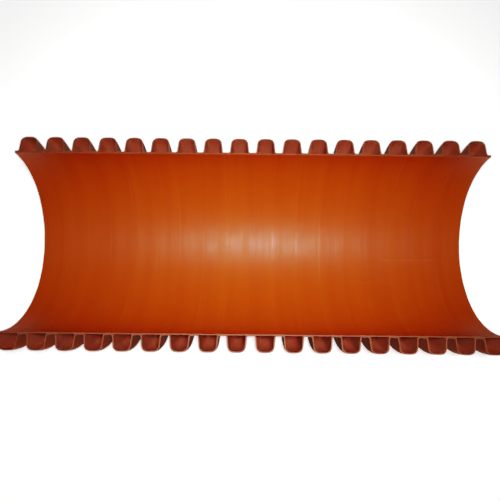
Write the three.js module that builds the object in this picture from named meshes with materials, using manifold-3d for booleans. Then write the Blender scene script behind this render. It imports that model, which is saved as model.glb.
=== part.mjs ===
// Half of a double-wall corrugated plastic pipe, sawn in two lengthwise.
//
// A smooth inner liner carries a corrugated outer wall. The two are extruded one inside the other
// and fuse together at every valley, so each corrugation is a hollow ring of air. The pipe is made
// whole here, in lathe-turned layers round its axis, and then halved by a plane through that axis,
// which opens the row of hollow cells along both sawn edges.
//
// Millimetres, +Z up. The half lies on its back like a trough: the pipe's axis runs along X, the
// sawn plane faces up, and the origin is on the ground under the middle of the corrugations.

import * as THREE from "three";
import { mergeVertices } from "three/addons/utils/BufferGeometryUtils.js";
import Module from "manifold-3d";

// Driving dimensions
const OUTER_DIAMETER = 160; // over the crests
const BORE_DIAMETER = 134; // inside the liner
const PITCH = 20.1; // from crest to crest
const CORRUGATIONS = 18;
const LINER_THICKNESS = 1.1;
const WALL_THICKNESS = 0.9; // of the corrugated sheet
const FUSED_THICKNESS = 0.5; // of the same sheet in the valleys, where it is pressed onto the liner
const HALF_CIRCLE_FACETS = 17; // odd, so that one facet of every crest lies flat on the ground

// Shape of one corrugation, across its hollow ring
const ROOT_WIDTH = 14.4; // where the flanks leave the valley
const SHOULDER_WIDTH = 12.4; // where the flanks start to round into the crest
const CREST_WIDTH = 4.6; // of the flat top
const SHOULDER_DROP = 3.9; // from the crest down to the shoulder
const ROOT_FILLET = 0.9;

// Worked out from them
const LENGTH = CORRUGATIONS * PITCH;
const BORE_RADIUS = BORE_DIAMETER / 2;
const LINER_RADIUS = BORE_RADIUS + LINER_THICKNESS;
const VALLEY_RADIUS = LINER_RADIUS + FUSED_THICKNESS;
const CREST_RADIUS = OUTER_DIAMETER / 2;
const FACET_ANGLE = Math.PI / HALF_CIRCLE_FACETS;
const AXIS_HEIGHT = CREST_RADIUS * Math.cos(FACET_ANGLE / 2); // the flat facet's distance from the axis

// A point of a profile: its distance from the pipe's axis, and its place along the axis.
const at = (radius, along) => new THREE.Vector2(radius, along);

// The middle of a crest's rounded shoulder, a quarter ellipse from the flank to the flat top.
function shoulderPoint(crestRadius, crestWidth, shoulderWidth, drop) {
  const quarter = Math.SQRT1_2;
  const run = (shoulderWidth - crestWidth) / 2;
  return { radius: crestRadius - drop * (1 - quarter), halfWidth: crestWidth / 2 + run * quarter };
}

// The rising half of one corrugation, from its valley to its crest, as [radius, half width] pairs.
function outerRise() {
  const shoulder = shoulderPoint(CREST_RADIUS, CREST_WIDTH, SHOULDER_WIDTH, SHOULDER_DROP);
  return [
    [VALLEY_RADIUS, ROOT_WIDTH / 2 + ROOT_FILLET / 2],
    [VALLEY_RADIUS + ROOT_FILLET, ROOT_WIDTH / 2 - ROOT_FILLET / 4],
    [CREST_RADIUS - SHOULDER_DROP, SHOULDER_WIDTH / 2],
    [shoulder.radius, shoulder.halfWidth],
    [CREST_RADIUS, CREST_WIDTH / 2],
  ];
}

// The same rise on the inside of the sheet, which bounds the hollow cell.
function innerRise() {
  const crest = CREST_RADIUS - WALL_THICKNESS;
  const crestWidth = CREST_WIDTH - WALL_THICKNESS / 2;
  const shoulderWidth = SHOULDER_WIDTH - 2 * WALL_THICKNESS;
  const shoulder = shoulderPoint(crest, crestWidth, shoulderWidth, SHOULDER_DROP - WALL_THICKNESS);
  return [
    [LINER_RADIUS, ROOT_WIDTH / 2 - WALL_THICKNESS],
    [CREST_RADIUS - SHOULDER_DROP, shoulderWidth / 2],
    [shoulder.radius, shoulder.halfWidth],
    [crest, crestWidth / 2],
  ];
}

// One side of the corrugated sheet from end to end: every rise, followed by its mirror image.
function corrugatedLine(rise) {
  const line = [];
  for (let i = 0; i < CORRUGATIONS; i++) {
    const middle = (i + 0.5) * PITCH - LENGTH / 2;
    line.push(...rise.map(([radius, half]) => at(radius, middle - half)));
    line.push(...rise.toReversed().map(([radius, half]) => at(radius, middle + half)));
  }
  return line;
}

// Turns a closed profile about the X axis into a whole ring-shaped layer of the pipe.
function turned(profile) {
  const layer = new THREE.LatheGeometry([...profile, profile[0]], 2 * HALF_CIRCLE_FACETS);
  layer.rotateZ(-Math.PI / 2); // the lathe turns about Y
  return layer.rotateX(Math.PI / 2); // facet corners on the sawn plane
}

const manifold = await Module();
manifold.setup();

// A closed geometry as a solid, with its seam's vertices merged.
function solidOf(geometry) {
  const bare = geometry.clone().deleteAttribute("normal").deleteAttribute("uv");
  const merged = mergeVertices(bare, 1e-4);
  return new manifold.Manifold(
    new manifold.Mesh({
      numProp: 3,
      vertProperties: merged.attributes.position.array,
      triVerts: new Uint32Array(merged.index.array),
    }),
  );
}

function geometryOf(solid) {
  const mesh = solid.getMesh();
  return new THREE.BufferGeometry()
    .setAttribute("position", new THREE.BufferAttribute(mesh.vertProperties, 3))
    .setIndex(new THREE.BufferAttribute(mesh.triVerts, 1));
}

// What the saw takes away: everything above the plane through the pipe's axis.
function upperHalf() {
  const waste = new THREE.BoxGeometry(2 * LENGTH, 2 * OUTER_DIAMETER, OUTER_DIAMETER);
  return solidOf(waste.translate(0, 0, OUTER_DIAMETER / 2));
}

function halved(profile) {
  const sawn = geometryOf(solidOf(turned(profile)).subtract(upperHalf())).toNonIndexed();
  sawn.computeVertexNormals();
  return sawn;
}

function linerProfile() {
  const end = LENGTH / 2;
  return [at(LINER_RADIUS, -end), at(LINER_RADIUS, end), at(BORE_RADIUS, end), at(BORE_RADIUS, -end)];
}

function corrugatedProfile() {
  const end = LENGTH / 2;
  const outside = [at(VALLEY_RADIUS, -end), ...corrugatedLine(outerRise()), at(VALLEY_RADIUS, end)];
  const inside = [at(LINER_RADIUS, -end), ...corrugatedLine(innerRise()), at(LINER_RADIUS, end)];
  return [...outside, ...inside.toReversed()];
}

const glossyOrange = new THREE.MeshStandardMaterial({ color: "#d9560f", roughness: 0.3, metalness: 0 });
const satinOrange = new THREE.MeshStandardMaterial({ color: "#c6480f", roughness: 0.42, metalness: 0 });

const pipeHalf = new THREE.Group();
pipeHalf.position.z = AXIS_HEIGHT; // it lies on its crests

const innerLiner = new THREE.Mesh(halved(linerProfile()), glossyOrange);
innerLiner.name = "inner_liner";
pipeHalf.add(innerLiner);

const corrugatedWall = new THREE.Mesh(halved(corrugatedProfile()), satinOrange);
corrugatedWall.name = "corrugated_outer_wall";
pipeHalf.add(corrugatedWall);

export default pipeHalf;
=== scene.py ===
"""Looks for the sawn half of an orange double-wall corrugated pipe.

Both CAD nodes are replaced by finer meshes of the same size: the inner liner with the faint ripple that
the corrugations leave in it, and the corrugated outer wall with rounded ribs. Each is a half ring swept
along the pipe, so that the wall thickness, the hollow cells and the sawn faces are all real geometry.
Everything is in metres in the row frame: X along the pipe, Z up, the sawn plane on top.
"""
import math

import bpy
import numpy as np
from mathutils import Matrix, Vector


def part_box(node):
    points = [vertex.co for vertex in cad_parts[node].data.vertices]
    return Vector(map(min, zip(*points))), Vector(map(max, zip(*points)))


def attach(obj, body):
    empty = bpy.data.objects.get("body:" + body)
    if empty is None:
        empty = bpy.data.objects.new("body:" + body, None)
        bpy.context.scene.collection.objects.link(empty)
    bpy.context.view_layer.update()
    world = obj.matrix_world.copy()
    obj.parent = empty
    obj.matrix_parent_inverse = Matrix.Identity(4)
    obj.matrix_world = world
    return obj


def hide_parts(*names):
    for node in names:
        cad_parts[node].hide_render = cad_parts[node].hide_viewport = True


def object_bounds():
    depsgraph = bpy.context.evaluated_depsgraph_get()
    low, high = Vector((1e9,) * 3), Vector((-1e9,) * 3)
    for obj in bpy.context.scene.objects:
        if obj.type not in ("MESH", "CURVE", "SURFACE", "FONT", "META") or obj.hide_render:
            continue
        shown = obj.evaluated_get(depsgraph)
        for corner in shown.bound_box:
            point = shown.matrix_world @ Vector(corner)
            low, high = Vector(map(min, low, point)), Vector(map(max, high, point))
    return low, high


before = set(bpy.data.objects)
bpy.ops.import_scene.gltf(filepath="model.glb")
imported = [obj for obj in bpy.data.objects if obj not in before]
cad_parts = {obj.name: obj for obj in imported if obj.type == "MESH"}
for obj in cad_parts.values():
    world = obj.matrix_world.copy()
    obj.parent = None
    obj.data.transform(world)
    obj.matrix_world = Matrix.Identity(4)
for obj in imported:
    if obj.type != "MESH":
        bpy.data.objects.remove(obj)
cad_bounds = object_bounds()
low, high = (Vector(corner) for corner in cad_bounds)

MM = 0.001

# Taken from the CAD frame
LENGTH = high.x - low.x
AXIS_HEIGHT = high.z
CREST_RADIUS = (high.y - low.y) / 2
liner_low, liner_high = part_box("inner_liner")
LINER_RADIUS = (liner_high.y - liner_low.y) / 2

# Shape of the walls
CORRUGATIONS = 18
PITCH = LENGTH / CORRUGATIONS
LINER_THICKNESS = 1.1 * MM
WALL_THICKNESS = 0.9 * MM
FUSED_THICKNESS = 0.5 * MM  # of the outer wall where it is pressed onto the liner
BORE_RADIUS = LINER_RADIUS - LINER_THICKNESS
VALLEY_RADIUS = LINER_RADIUS + FUSED_THICKNESS
ROOT_HALF = 7.3 * MM  # half the width of a rib where its flanks meet the valley
SHOULDER_HALF = 6.2 * MM  # half the width of a rib where its flanks would meet the crest
HOLLOW_ROOT_HALF = 6.4 * MM
HOLLOW_SHOULDER_HALF = 5.3 * MM
CREST_DOME = 0.35 * MM  # how far the middle of a crest stands over its shoulders
ROOT_FILLET = 1.1 * MM
SHOULDER_FILLET = 4.3 * MM
HOLLOW_ROOT_FILLET = 0.6 * MM
HOLLOW_SHOULDER_FILLET = 3.5 * MM
DOME_RADIUS = 24 * MM  # of the middle of a crest
ARC_STEPS = 4  # along every rounded corner of a rib
FLANK_STEPS = 4  # along every straight flank of a rib
FACETS = 80  # round the half circle
STATIONS_PER_RIB = 20  # along the liner, enough of them to carry its ripple
SAWN_SHARES = np.array((0, 0.18, 0.5, 0.82, 1))  # where a sawn face is divided across its thickness
SHARP_ANGLE = math.radians(38)  # from which an edge is not smoothed

# The columns of points round a half ring's section, which starts on the inner arc at the front edge
LAST_INNER = FACETS
FIRST_OUTER = LAST_INNER + len(SAWN_SHARES) - 1
LAST_OUTER = FIRST_OUTER + FACETS
COLUMNS = LAST_OUTER + len(SAWN_SHARES) - 1
BORE_SIDE, SAWN, OUTER_SIDE = range(3)  # the material slots of its faces

# Small unevenness
RIPPLE_DEPTH = 0.12 * MM  # of the liner, at every rib
OVALNESS = 0.12 * MM  # of the liner
OVAL_TWIST = 9  # how fast the oval turns along the pipe, in radians per metre
FUSE_GROOVE = 0.02 * MM  # where the two walls are pressed together
FUSE_PHASE = -0.09  # the groove's place off the middle of a valley, as a share of the pitch
FUSE_WIDTH = 0.035  # of the groove, as a share of the pitch
SAW_TEETH = 0.09 * MM  # unevenness of the sawn faces
BURR = 0.22 * MM
BURR_REACH = 0.16  # as a share of the wall's thickness

# The studio
FLOOR_RADIUS = 1.6  # of its flat part
COVE_RADIUS = 0.8  # of the bend from the floor to the wall
COVE_SIDES = 64
WALL_HEIGHT = 3.0

rng = np.random.default_rng(160)


def fillet(points, radii, steps):
    """The line through points with its corners rounded. Each corner becomes an arc of steps + 1 points."""
    line = [np.array(points[0])]
    for before, corner, after, radius in zip(points, points[1:], points[2:], radii):
        before, corner, after = np.array(before), np.array(corner), np.array(after)
        back = (before - corner) / np.linalg.norm(before - corner)
        ahead = (after - corner) / np.linalg.norm(after - corner)
        half = math.acos(np.clip(back @ ahead, -1, 1)) / 2
        middle = (back + ahead) / np.linalg.norm(back + ahead)
        centre = corner + middle * radius / math.sin(half)
        start = corner + back * radius / math.tan(half) - centre
        end = corner + ahead * radius / math.tan(half) - centre
        turn = math.atan2(start[0] * end[1] - start[1] * end[0], start @ end)
        for i in range(steps + 1):
            angle = turn * i / steps
            cos, sin = math.cos(angle), math.sin(angle)
            line.append(centre + (start[0] * cos - start[1] * sin, start[0] * sin + start[1] * cos))
    return np.array(line + [np.array(points[-1])])


def divided(line, parts_of_each):
    """The line with each of its stretches divided into that many parts."""
    out = [line[0]]
    for a, b, parts in zip(line, line[1:], parts_of_each):
        out += [a + (b - a) * (i + 1) / parts for i in range(parts)]
    return np.array(out)


def rib_outline(valley, crest, root_half, shoulder_half, root_fillet, shoulder_fillet):
    """One rib's line as (along, radius) points, from the middle of one valley to the middle of the next."""
    shoulder = crest - CREST_DOME
    corners = [
        (-PITCH / 2, valley),
        (-root_half, valley),
        (-shoulder_half, shoulder),
        (0, crest + CREST_DOME / 4),
        (shoulder_half, shoulder),
        (root_half, valley),
        (PITCH / 2, valley),
    ]
    radii = [root_fillet, shoulder_fillet, DOME_RADIUS, shoulder_fillet, root_fillet]
    return fillet(corners, radii, ARC_STEPS)


def along_the_pipe(rib):
    """The rib repeated along the pipe. Neighbours share the point in the middle of their valley."""
    middles = [(i + 0.5) * PITCH - LENGTH / 2 for i in range(CORRUGATIONS)]
    ribs = [rib[:-1] + (middle, 0) for middle in middles]
    return np.vstack(ribs + [rib[-1:] + (middles[-1], 0)])


def smooth_noise(count, spacing):
    """Random heights from -1 to 1 that change over about spacing samples."""
    knots = rng.uniform(-1, 1, int(count / spacing) + 4)
    return np.interp(np.arange(count) / spacing, np.arange(len(knots)), knots)


def sawn_heights(count, columns, burrs):
    """How far each point of a sawn face stands off its plane: saw marks, and a burr along each free edge."""
    share = np.linspace(0, 1, columns)
    heights = SAW_TEETH * (smooth_noise(count, 7)[:, None] + 0.5 * rng.uniform(-1, 1, (count, columns)))
    for edge, burr in zip((0, 1), burrs):
        ragged = np.clip(smooth_noise(count, 3) + 0.6 * smooth_noise(count, 1), 0, None)
        near = np.exp(-((share - edge) / BURR_REACH) ** 2)
        heights += burr * ragged[:, None] * near
    return heights


def still(along, angle):
    """No ripple."""
    return 0.0 * along * angle


def stacked(*components):
    """One array of points from an array of each of their components."""
    return np.stack(np.broadcast_arrays(*components), -1)


def ring_point(along, radius, angle, lift=0.0):
    """A place on a half ring, at this angle round from the front sawn edge."""
    across = -radius * np.cos(angle)
    height = AXIS_HEIGHT - radius * np.sin(angle) + lift
    return stacked(along, across, height)


def arc(line, wave, order):
    """The line swept from the front edge to the back one, or back: its points and their skin."""
    angle = np.linspace(0, math.pi, FACETS + 1)[::order][None, :]
    along = line[:, :1]
    radius = line[:, 1:] + wave(along, angle)
    return ring_point(along, radius, angle), stacked(along, radius * angle)


def strip(inner, outer, wave, angle, heights, order):
    """A sawn face from the inner line to the outer one, or back, without the edges that the arcs have."""
    inside = slice(1, -1)
    share = SAWN_SHARES[::order][inside][None, :]
    bore = inner[:, 1:] + wave(inner[:, :1], angle)
    along = inner[:, :1] * (1 - share) + outer[:, :1] * share
    radius = bore * (1 - share) + outer[:, 1:] * share
    points = ring_point(along, radius, angle, heights[:, ::order][:, inside])
    return points, stacked(along, share * WALL_THICKNESS)


def ring_points(inner, outer, burrs, wave):
    """The points of a half ring and their skin, in stations along the pipe by columns round its section."""
    back, front = (sawn_heights(len(inner), len(SAWN_SHARES), burrs) for _ in range(2))
    sides = (
        arc(inner, wave, 1),
        strip(inner, outer, wave, math.pi, back, 1),
        arc(outer, still, -1),
        strip(inner, outer, wave, 0.0, front, -1),
    )
    points, skin = (np.concatenate(parts, axis=1) for parts in zip(*sides))
    points[:, 0, 2] += front[:, 0]
    points[:, LAST_INNER, 2] += back[:, 0]
    points[:, FIRST_OUTER, 2] += back[:, -1]
    points[:, LAST_OUTER, 2] += front[:, -1]
    for end in (0, -1):
        points[end, :, 0] += SAW_TEETH * smooth_noise(COLUMNS, 2)
    return points, skin


def end_cap(first, order):
    """The faces across one end of a half ring, whose points start at first. They span the two arcs."""
    faces = [[k, k + 1, LAST_OUTER - k - 1, LAST_OUTER - k] for k in range(FACETS)]
    faces[0] = [0, 1, LAST_OUTER - 1] + list(range(LAST_OUTER, COLUMNS))
    faces[-1] = [LAST_INNER - 1] + list(range(LAST_INNER, FIRST_OUTER + 1)) + [FIRST_OUTER + 1]
    return [[first + corner for corner in face][::order] for face in faces]


def ring_faces(stations):
    """The faces of a half ring with that many stations, and the material slot of each."""
    station = np.arange(stations - 1)[:, None] * COLUMNS
    column = np.arange(COLUMNS)[None, :]
    here, beside = station + column, station + (column + 1) % COLUMNS
    quads = np.stack([here, beside, beside + COLUMNS, here + COLUMNS], -1)
    slot_of_column = np.full(COLUMNS, SAWN)
    slot_of_column[:LAST_INNER] = BORE_SIDE
    slot_of_column[FIRST_OUTER:LAST_OUTER] = OUTER_SIDE
    caps = end_cap(0, -1) + end_cap((stations - 1) * COLUMNS, 1)
    slots = np.tile(slot_of_column, stations - 1).tolist() + [SAWN] * len(caps)
    return quads.reshape(-1, 4).tolist() + caps, slots


def half_ring(name, inner, outer, burrs, wave):
    """A mesh swept from two matching lines of (along, radius) points: the bore side and the outer side.

    Its section is a closed loop: the inner arc, a sawn strip, the outer arc back, and the other sawn strip.
    wave(along, angle) is added to the inner arc's radius. The UV map holds the skin: the distances along
    and around that the textures follow.
    """
    points, skin = ring_points(inner, outer, burrs, wave)
    faces, slots = ring_faces(len(inner))
    mesh = bpy.data.meshes.new(name)
    mesh.from_pydata(points.reshape(-1, 3).tolist(), [], faces)
    mesh.polygons.foreach_set("material_index", np.array(slots, np.int32))
    mesh.polygons.foreach_set("use_smooth", np.ones(len(faces), bool))
    corners = np.zeros(len(mesh.loops), np.int32)
    mesh.loops.foreach_get("vertex_index", corners)
    skin_map = mesh.uv_layers.new(name="skin")
    skin_map.data.foreach_set("uv", skin.reshape(-1, 2)[corners].astype(np.float32).ravel())
    mesh.set_sharp_from_angle(angle=SHARP_ANGLE)
    mesh.update()
    mesh.validate()
    piece = bpy.data.objects.new(name, mesh)
    bpy.context.scene.collection.objects.link(piece)
    return piece


def make_ripple():
    """The liner's ripple: it sags a little over every hollow rib and has a fine groove where it is fused."""
    depth = rng.uniform(0.6, 1.3, CORRUGATIONS + 1)
    skew = rng.uniform(-0.3, 0.3, CORRUGATIONS + 1)

    def ripple(along, angle):
        turns = along / PITCH + CORRUGATIONS / 2
        nearest = np.clip(np.round(turns), 0, CORRUGATIONS).astype(int)
        phase = turns - nearest
        sag = -RIPPLE_DEPTH / 2 * np.cos(2 * math.pi * phase) * depth[nearest]
        lean = RIPPLE_DEPTH * skew[nearest] * np.sin(2 * math.pi * phase)
        groove = FUSE_GROOVE * np.exp(-((phase - FUSE_PHASE) / FUSE_WIDTH) ** 2) * depth[nearest]
        oval = OVALNESS * np.cos(2 * angle + along * OVAL_TWIST)
        return sag + lean + groove + oval

    return ripple


def liner_lines():
    """The liner's bore and outer lines, as (along, radius) points."""
    points = STATIONS_PER_RIB * CORRUGATIONS + 1
    along = np.linspace(-LENGTH / 2, LENGTH / 2, points)
    return [np.stack([along, np.full(points, radius)], -1) for radius in (BORE_RADIUS, LINER_RADIUS)]


def wall_lines():
    """The outer wall's inner and outer lines, with the same number of points, so that they match."""
    outer = rib_outline(VALLEY_RADIUS, CREST_RADIUS, ROOT_HALF, SHOULDER_HALF, ROOT_FILLET, SHOULDER_FILLET)
    inner = rib_outline(
        LINER_RADIUS,
        CREST_RADIUS - WALL_THICKNESS,
        HOLLOW_ROOT_HALF,
        HOLLOW_SHOULDER_HALF,
        HOLLOW_ROOT_FILLET,
        HOLLOW_SHOULDER_FILLET,
    )
    parts = [1] * (len(outer) - 1)
    rising_flank = ARC_STEPS + 1  # after the valley's first stretch and the root's arc
    falling_flank = len(parts) - 1 - rising_flank
    for flank in (rising_flank, falling_flank):
        parts[flank] = FLANK_STEPS
    return [along_the_pipe(divided(line, parts)) for line in (inner, outer)]


class Nodes:
    """A short way to write a node tree."""

    def __init__(self, owner, shader):
        owner.use_nodes = True
        self.material = owner
        self.tree = owner.node_tree
        self.shader = self.tree.nodes[shader]

    def add(self, kind, inputs=None, **settings):
        node = self.tree.nodes.new(kind)
        for key, value in settings.items():
            setattr(node, key, value)
        for key, value in (inputs or {}).items():
            self.set(node.inputs[key], value)
        return node

    def set(self, socket, value):
        if isinstance(value, bpy.types.NodeSocket):
            self.tree.links.new(value, socket)
        else:
            socket.default_value = value

    def feed(self, key, value):
        self.set(self.shader.inputs[key], value)

    def skin(self, along=1.0, around=1.0):
        """The mesh's own along and around distances, in metres, times these scales."""
        uv = self.add("ShaderNodeUVMap", uv_map="skin").outputs["UV"]
        return self.add("ShaderNodeMapping", {"Vector": uv, "Scale": (along, around, 1)}).outputs["Vector"]

    def place(self, scale=1.0):
        """The point's own place, in metres, times this scale."""
        coordinate = self.add("ShaderNodeTexCoord").outputs["Object"]
        return self.add("ShaderNodeMapping", {"Vector": coordinate, "Scale": (scale,) * 3}).outputs["Vector"]

    def axes(self, vector):
        return self.add("ShaderNodeSeparateXYZ", {0: vector}).outputs

    def math(self, operation, *values):
        return self.add("ShaderNodeMath", dict(enumerate(values)), operation=operation).outputs["Value"]

    def noise(self, vector, scale=1.0, detail=3.0, roughness=0.5):
        inputs = {"Vector": vector, "Scale": scale, "Detail": detail, "Roughness": roughness}
        return self.add("ShaderNodeTexNoise", inputs).outputs["Fac"]

    def fit(self, value, low, high, to_low, to_high):
        inputs = {"Value": value, "From Min": low, "From Max": high, "To Min": to_low, "To Max": to_high}
        return self.add("ShaderNodeMapRange", inputs).outputs["Result"]

    def blend(self, share, a, b):
        node = self.add("ShaderNodeMix", data_type="RGBA")
        colours = [socket for socket in node.inputs if socket.type == "RGBA"]
        for socket, value in zip([node.inputs["Factor"]] + colours, (share, a, b)):
            self.set(socket, value)
        return next(socket for socket in node.outputs if socket.type == "RGBA")

    def bump(self, height, strength, distance, under=None):
        inputs = {"Height": height, "Strength": strength, "Distance": distance}
        if under is not None:
            inputs["Normal"] = under
        return self.add("ShaderNodeBump", inputs).outputs["Normal"]

    def from_axis(self):
        """The distance from the pipe's axis."""
        place = self.axes(self.place())
        drop = self.math("SUBTRACT", place["Z"], AXIS_HEIGHT)
        across_squared = self.math("MULTIPLY", place["Y"], place["Y"])
        drop_squared = self.math("MULTIPLY", drop, drop)
        return self.math("SQRT", self.math("ADD", across_squared, drop_squared))

    def near_saw(self, reach):
        """From 0 at this depth below the sawn plane to 1 on it."""
        return self.fit(self.axes(self.place())["Z"], AXIS_HEIGHT - reach, AXIS_HEIGHT, 0, 1)

    def near_fuse(self, reach):
        """1 on each fused line of the liner, falling to 0 at this distance along the pipe."""
        turns = self.math("DIVIDE", self.axes(self.skin())["X"], PITCH)
        phase = self.math("FRACT", self.math("ADD", turns, CORRUGATIONS + 0.5 - FUSE_PHASE))
        return self.fit(self.math("ABSOLUTE", self.math("SUBTRACT", phase, 0.5)), 0, reach / PITCH, 1, 0)

    def scratch(self, start, end, degrees, width, strength):
        """A thin broken line along the liner, this many degrees round from the front sawn edge."""
        skin = self.axes(self.skin())
        wander = self.fit(self.noise(self.skin(30, 0)), 0.3, 0.7, -0.5 * MM, 0.5 * MM)
        off = self.math("SUBTRACT", self.math("ADD", skin["Y"], wander), BORE_RADIUS * math.radians(degrees))
        line = self.fit(self.math("ABSOLUTE", off), 0, width, 1, 0)
        off_middle = self.math("ABSOLUTE", self.math("SUBTRACT", skin["X"], (start + end) / 2))
        ends = self.fit(off_middle, 0.35 * (end - start), 0.5 * (end - start), 1, 0)
        breaks = self.fit(self.noise(self.skin(150, 30), detail=4), 0.35, 0.7, 0.3 * strength, strength)
        return self.math("MULTIPLY", self.math("MULTIPLY", line, ends), breaks)


def tone(red, green, blue):
    """A colour as shaders take it, in linear light."""
    return (red, green, blue, 1.0)


LINER_ORANGE = tone(0.62, 0.118, 0.002)
LINER_LIGHT = tone(0.66, 0.134, 0.003)
LINER_DEEP = tone(0.58, 0.102, 0.001)
# Pale colour of scuffs and wear, also used for the painted highlight on the fused lines and the painted
# glint along the scratches
LINER_SCUFF_AND_GLINT = tone(0.66, 0.28, 0.14)
# The hollow's colours are greyer than the outside's: a painted sheen, as seen inside the cells
HOLLOW_SHEENED_ORANGE = tone(0.64, 0.235, 0.135)
HOLLOW_SHEENED_DEEP = tone(0.58, 0.195, 0.105)
OUTSIDE_ORANGE = tone(0.58, 0.112, 0.008)
OUTSIDE_DEEP = tone(0.52, 0.094, 0.006)
# Dust colour, also used as painted shade down in the valleys
OUTSIDE_DUST_AND_SHADE = tone(0.24, 0.12, 0.08)
SAWN_PALE = tone(0.36, 0.135, 0.065)
SAWN_ORANGE = tone(0.34, 0.10, 0.035)
FLOOR_PALE = tone(0.70, 0.76, 0.71)
FLOOR_GLOW = 0.86
LAMP_COLOUR = (1.0, 0.92, 0.98)
CEILING_LIGHT = 0.04
GROUND_LIGHT = 2.2
MAIN_LAMP_SIZE = 0.07
MAIN_LAMP_POWER = 0.44  # in watts
END_LAMP_SIZE = 0.3
END_LAMP_POWER = 0.3
END_LAMP_DISTANCE = 0.42  # off each end of the pipe, and as far below it
TONE_CURVE = ((0.03, 0.014), (0.06, 0.042), (0.10, 0.090), (0.25, 0.31), (0.50, 0.52), (0.75, 0.66))
RIB_WAVE = math.pi / (10 * PITCH)  # the wave texture's scale that repeats once a rib
PLASTIC_IOR = 1.5
SCRATCH_WIDTH = 0.9 * MM
# The pale line it reaches is a painted highlight on each fused line; the lower roughness there is real gloss
FUSED_LINE = 0.8 * MM  # how far the pale line on the liner reaches from each groove
SHEET_MILKINESS = 0.5  # of the thin sheet, which lets some light through
SCATTER_DEPTH = 3 * MM  # of red light in it
SCATTER_OF_COLOURS = (1.0, 0.4, 0.25)  # of red, green and blue, as shares of that


def plastic(name):
    """A new plastic, ready for its colour, roughness and bumps."""
    nodes = Nodes(bpy.data.materials.new(name), "Principled BSDF")
    nodes.feed("IOR", PLASTIC_IOR)
    return nodes


def liner_plastic():
    """Extruded orange: faint bands at every rib, fused lines painted pale as a highlight, and a few scuffs
    and scratches, the scratches painted pale as glints.
    """
    n = plastic("liner_plastic")
    clouds = n.noise(n.skin(95, 3), detail=3)
    colour = n.blend(n.fit(clouds, 0.3, 0.7, 0, 1), LINER_DEEP, LINER_LIGHT)
    bands = n.add("ShaderNodeTexWave", {"Vector": n.skin(), "Scale": RIB_WAVE, "Distortion": 0.6})
    colour = n.blend(n.fit(bands.outputs["Fac"], 0, 1, 0.1, 0.6), colour, LINER_ORANGE)
    scuffs = n.fit(n.noise(n.skin(12, 900), detail=4, roughness=0.7), 0.68, 0.8, 0, 0.3)
    ragged = n.fit(n.noise(n.skin(300, 20), detail=4), 0.35, 0.65, 0, 0.5)
    edge = n.math("MULTIPLY", n.near_saw(1.5 * MM), ragged)
    # Painted glint: the two scratches are real marks, painted pale to stand in for the lamp's glint along
    # them
    long_scratch = n.scratch(start=0.105, end=0.164, degrees=89, width=SCRATCH_WIDTH, strength=0.30)
    short_scratch = n.scratch(start=0.076, end=0.127, degrees=71, width=SCRATCH_WIDTH, strength=0.15)
    # Painted highlight: the fused lines are painted paler, standing in for the glint they give under the
    # lamp
    patches = n.fit(n.noise(n.skin(40, 14), detail=2), 0.45, 0.68, 0, 0.2)
    fused = n.math("MULTIPLY", n.near_fuse(FUSED_LINE), patches)
    marks = n.math("ADD", n.math("ADD", scuffs, edge), n.math("ADD", long_scratch, short_scratch))
    marks = n.math("ADD", marks, fused)
    colour = n.blend(n.math("MINIMUM", marks, 0.8), colour, LINER_SCUFF_AND_GLINT)
    n.feed("Base Color", colour)
    mottle = n.fit(n.noise(n.skin(90, 60), detail=5), 0.3, 0.7, 0.46, 0.53)
    chatter = n.noise(n.skin(330, 4), detail=3)
    roughness = n.math("ADD", mottle, n.fit(chatter, 0.3, 0.7, -0.03, 0.05))
    n.feed("Roughness", n.math("SUBTRACT", roughness, n.math("MULTIPLY", n.near_fuse(FUSED_LINE), 0.05)))
    n.feed("Coat Weight", 0.013)
    n.feed("Coat Roughness", 0.24)
    die_lines = n.noise(n.skin(4, 500), detail=3)
    dents = n.noise(n.skin(160, 90), detail=3)
    normal = n.bump(die_lines, 0.1, 0.0003)
    normal = n.bump(chatter, 0.12, 0.0003, normal)
    n.feed("Normal", n.bump(dents, 0.2, 0.0005, normal))
    return n


def hollow_plastic():
    """The inside of the ribs, which never touched a mould or the ground: clean, even and satin, its greyish
    tint a painted sheen.
    """
    n = plastic("hollow_plastic")
    patches = n.noise(n.place(40), detail=4)
    n.feed("Base Color", n.blend(n.fit(patches, 0.3, 0.7, 0, 1), HOLLOW_SHEENED_DEEP, HOLLOW_SHEENED_ORANGE))
    n.feed("Roughness", n.fit(n.noise(n.place(150), detail=4), 0.3, 0.7, 0.34, 0.46))
    n.feed("Subsurface Weight", SHEET_MILKINESS)
    n.feed("Subsurface Radius", SCATTER_OF_COLOURS)
    n.feed("Subsurface Scale", SCATTER_DEPTH)
    flow = n.noise(n.skin(40, 250), detail=3)
    n.feed("Normal", n.bump(flow, 0.25, 0.0006))
    return n


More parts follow.
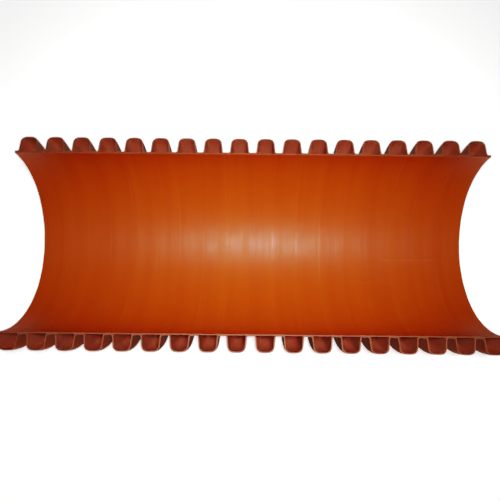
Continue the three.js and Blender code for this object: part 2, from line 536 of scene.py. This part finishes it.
def outside_plastic():
    """The mould side: orange where the crests are rubbed, darker brown down in the valleys from dust and
    painted shade.
    """
    n = plastic("outside_plastic")
    patches = n.noise(n.place(30), detail=5)
    colour = n.blend(n.fit(patches, 0.3, 0.7, 0, 1), OUTSIDE_DEEP, OUTSIDE_ORANGE)
    radius = n.from_axis()
    # Painted shade: darker and browner towards the valleys, partly dust and partly the shade that falls
    # there
    depth = n.fit(radius, VALLEY_RADIUS, CREST_RADIUS - 1.2 * MM, 0.75, 0.0)
    dust_and_shade = n.fit(n.noise(n.place(90), detail=6, roughness=0.65), 0.3, 0.6, 0.35, 1)
    colour = n.blend(n.math("MULTIPLY", depth, dust_and_shade), colour, OUTSIDE_DUST_AND_SHADE)
    crest = n.fit(radius, CREST_RADIUS - 1.0 * MM, CREST_RADIUS - 0.1 * MM, 0, 1)
    rub = n.fit(n.noise(n.skin(500, 30), detail=5, roughness=0.65), 0.5, 0.75, 0, 0.6)
    colour = n.blend(n.math("MULTIPLY", rub, crest), colour, LINER_SCUFF_AND_GLINT)
    n.feed("Base Color", colour)
    n.feed("Roughness", n.fit(n.noise(n.place(120), detail=4), 0.3, 0.7, 0.36, 0.55))
    grain = n.noise(n.place(900), detail=3)
    flow = n.noise(n.skin(60, 300), detail=3)
    normal = n.bump(grain, 0.15, 0.0002)
    n.feed("Normal", n.bump(flow, 0.2, 0.0005, normal))
    return n


def sawn_plastic():
    """Where the saw went through: rougher and browner, with the saw's marks across the wall."""
    n = plastic("sawn_plastic")
    marks = n.noise(n.skin(1400, 300), detail=4, roughness=0.7)
    n.feed("Base Color", n.blend(n.fit(marks, 0.38, 0.68, 0, 1), SAWN_ORANGE, SAWN_PALE))
    n.feed("Roughness", n.fit(marks, 0.3, 0.7, 0.55, 0.7))
    n.feed("Normal", n.bump(marks, 0.5, 0.0002))
    return n


def build_pipe():
    """Both pieces, with their materials and CAD nodes. Returns the outer wall, which meets the floor."""
    sawn = sawn_plastic()
    lining = liner_plastic()
    bore, outside = liner_lines()
    liner = half_ring("liner", bore, outside, (BURR, 0.2 * BURR), make_ripple())
    hollow, ribs = wall_lines()
    wall = half_ring("corrugated_wall", hollow, ribs, (0.3 * BURR, 0.7 * BURR), still)
    for piece, skins, slot, node in (
        (liner, (lining, sawn, lining), "liner_plastic", "inner_liner"),
        (wall, (hollow_plastic(), sawn, outside_plastic()), "wall_plastic", "corrugated_outer_wall"),
    ):
        for skin in skins:
            piece.data.materials.append(skin.material)
        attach(piece, "root")
        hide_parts(node)
    return wall


def cove(bottom):
    """A round floor that curves up into a wall all the way round."""
    bend = [math.radians(angle) for angle in range(0, 91, 10)]
    profile = [(FLOOR_RADIUS + COVE_RADIUS * math.sin(a), COVE_RADIUS * (1 - math.cos(a))) for a in bend]
    profile.append((FLOOR_RADIUS + COVE_RADIUS, WALL_HEIGHT))
    turns = np.linspace(0, 2 * math.pi, COVE_SIDES, endpoint=False)
    corners = [(0, 0, bottom)]
    corners += [(r * math.cos(t), r * math.sin(t), bottom + z) for r, z in profile for t in turns]
    faces = [(0, 1 + k, 1 + (k + 1) % COVE_SIDES) for k in range(COVE_SIDES)]
    for ring in range(len(profile) - 1):
        first = 1 + ring * COVE_SIDES
        for k in range(COVE_SIDES):
            here, beside = first + k, first + (k + 1) % COVE_SIDES
            faces.append((here, here + COVE_SIDES, beside + COVE_SIDES, beside))
    mesh = bpy.data.meshes.new("floor")
    mesh.from_pydata(corners, [], faces)
    mesh.polygons.foreach_set("use_smooth", [True] * len(faces))
    return mesh


def lay_floor(under):
    """A plain pale floor that just touches the lowest crests, with a wall as pale as itself round it.

    It glows by itself, but the object neither mirrors it nor is lit by it.
    """
    bottom = min(vertex.co.z for vertex in under.data.vertices)
    floor = bpy.data.objects.new("floor", cove(bottom))
    bpy.context.scene.collection.objects.link(floor)
    n = Nodes(bpy.data.materials.new("floor_paint"), "Principled BSDF")
    n.feed("Base Color", FLOOR_PALE)
    n.feed("Roughness", 0.8)
    n.feed("Emission Color", tone(1.0, 1.0, 1.0))
    n.feed("Emission Strength", FLOOR_GLOW)
    floor.data.materials.append(n.material)
    floor.visible_diffuse = False
    floor.visible_glossy = False
    floor.visible_shadow = False


def hang_lamp(name, place, aim, size, energy):
    """A soft round lamp that the camera does not see."""
    lamp = bpy.data.lights.new(name, "AREA")
    lamp.shape = "DISK"
    lamp.size = size
    lamp.spread = math.radians(90)
    lamp.energy = energy
    lamp.color = LAMP_COLOUR
    hung = bpy.data.objects.new(name, lamp)
    hung.location = place
    hung.rotation_euler = (aim - place).to_track_quat("-Z", "Y").to_euler()
    hung.visible_camera = False
    bpy.context.scene.collection.objects.link(hung)


def hang_lamps():
    """A small lamp near the camera, over the bottom of the channel, and a wide one off each end."""
    above = Vector((0.02, -0.055, AXIS_HEIGHT + 0.40))
    bottom = Vector((0, 0, AXIS_HEIGHT - BORE_RADIUS))
    hang_lamp("lamp", above, bottom, MAIN_LAMP_SIZE, MAIN_LAMP_POWER)
    for name, side in (("left_lamp", -1), ("right_lamp", 1)):
        end = Vector((side * LENGTH / 2, 0, AXIS_HEIGHT / 2))
        away = Vector((side * END_LAMP_DISTANCE, 0, -END_LAMP_DISTANCE))
        hang_lamp(name, end + away, end, END_LAMP_SIZE, END_LAMP_POWER)


def light_room():
    """A dim room, whose light comes from low down in front and behind, and hardly from overhead."""
    world = bpy.data.worlds.new("room")
    n = Nodes(world, "Background")
    way = n.axes(n.add("ShaderNodeTexCoord").outputs["Generated"])
    low_down = n.fit(way["Z"], -0.6, -0.2, GROUND_LIGHT, CEILING_LIGHT)
    in_front_or_behind = n.fit(n.math("ABSOLUTE", way["Y"]), 0.4, 0.9, 0.1, 1)
    clear_of_the_ends = n.fit(n.math("ABSOLUTE", way["X"]), 0.15, 0.45, 1, 0.08)
    beside = n.math("MULTIPLY", in_front_or_behind, clear_of_the_ends)
    n.feed("Color", tone(1.0, 0.99, 0.98))
    n.feed("Strength", n.math("MULTIPLY", low_down, beside))
    bpy.context.scene.world = world


def set_camera():
    """Above the sawn plane and a little in front of it, close enough for a strong perspective."""
    aim = Vector((-1.3 * MM, -6.7 * MM, AXIS_HEIGHT))
    distance = 0.952 * LENGTH
    elevation, azimuth = math.radians(78.7), math.radians(0.585)
    level = math.cos(elevation)
    away = Vector((math.sin(azimuth) * level, -math.cos(azimuth) * level, math.sin(elevation)))
    data = bpy.data.cameras.new("camera")
    data.sensor_width = 36
    data.lens = 34.04
    data.clip_start = 0.01
    camera = bpy.data.objects.new("camera", data)
    camera.location = aim + away * distance
    camera.rotation_euler = (-away).to_track_quat("-Z", "Y").to_euler()
    bpy.context.scene.collection.objects.link(camera)
    bpy.context.scene.camera = camera


def set_contrast():
    """The tone curve of a small camera: deep shadows, and highlights that roll off."""
    view = bpy.context.scene.view_settings
    view.view_transform = "Standard"
    view.use_curve_mapping = True
    combined = view.curve_mapping.curves[3]  # after those of red, green and blue
    for light, shown in TONE_CURVE:
        combined.points.new(light, shown)
    view.curve_mapping.update()


set_contrast()
lay_floor(build_pipe())
hang_lamps()
light_room()
set_camera()
